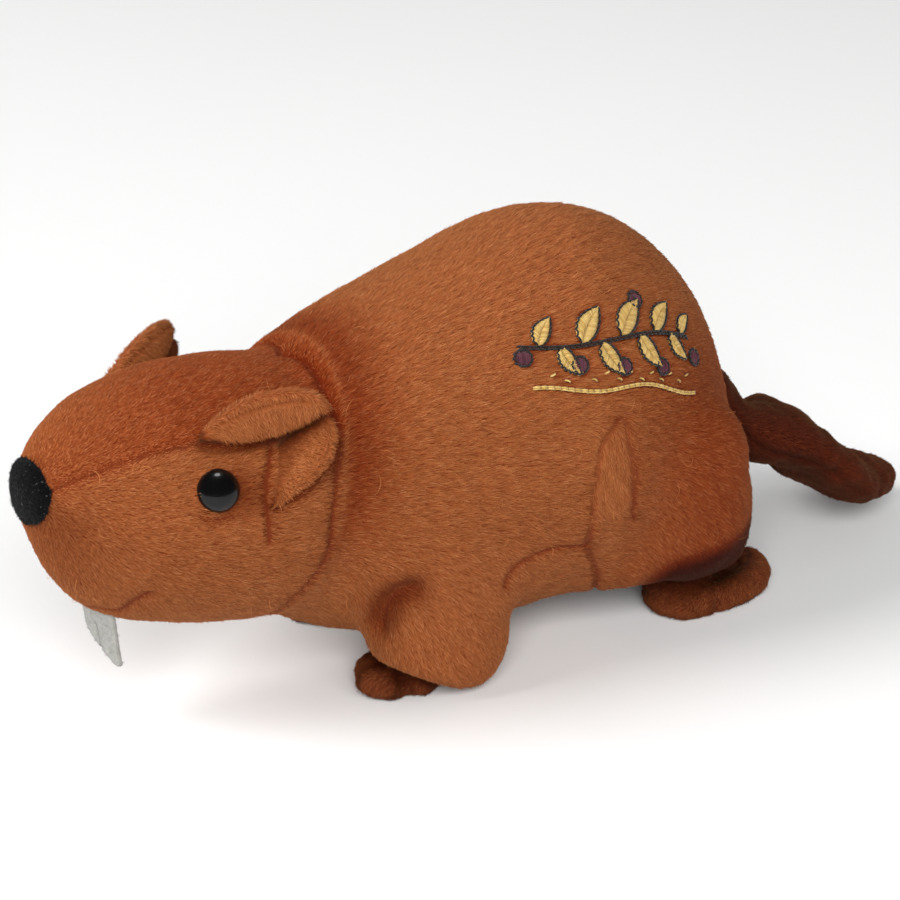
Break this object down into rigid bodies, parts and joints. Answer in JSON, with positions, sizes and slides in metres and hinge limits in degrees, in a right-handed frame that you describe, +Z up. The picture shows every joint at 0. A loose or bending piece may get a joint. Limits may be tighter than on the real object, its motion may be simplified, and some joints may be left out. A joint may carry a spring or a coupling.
{
  "type": "plush toy beaver",
  "caption": "Small stuffed plush toy beaver on four short legs: rounded body, wedge-shaped head with folded ears, felt nose and incisors, button eyes and a flat paddle tail.",
  "frame": {"origin": "middle of the toy's bounding box, on the floor under it", "axes": "+Z up, +Y from nose to tail, so the toy faces -Y, and +X is its left side"},
  "size_m": [0.08, 0.2328, 0.0936],
  "materials": {
    "plush": "short dense reddish brown pile, about 2 mm, lying from nose to tail, with paler tips and a soft grazing sheen",
    "tail_plush": "very short dark brown pile on a padded flat paddle with a seam round its rim",
    "paw_plush": "short dark brown pile on padded paws and feet",
    "nose_felt": "matt black felt, slightly fuzzy",
    "tooth_felt": "off-white felt sheet about 1.2 mm thick",
    "eye_bead": "polished black button eye"
  },
  "bodies": {
    "root": {"head": "plush", "trunk": "plush", "tail": "tail_plush", "nose": "nose_felt", "teeth": "tooth_felt", "ear_left": "plush", "eye_left": "eye_bead", "front_leg_left": "plush", "front_paw_left": "paw_plush", "hind_leg_left": "plush", "hind_foot_left": "paw_plush", "ear_right": "plush", "eye_right": "eye_bead", "front_leg_right": "plush", "front_paw_right": "paw_plush", "hind_leg_right": "plush", "hind_foot_right": "paw_plush"}
  },
  "joints": []
}
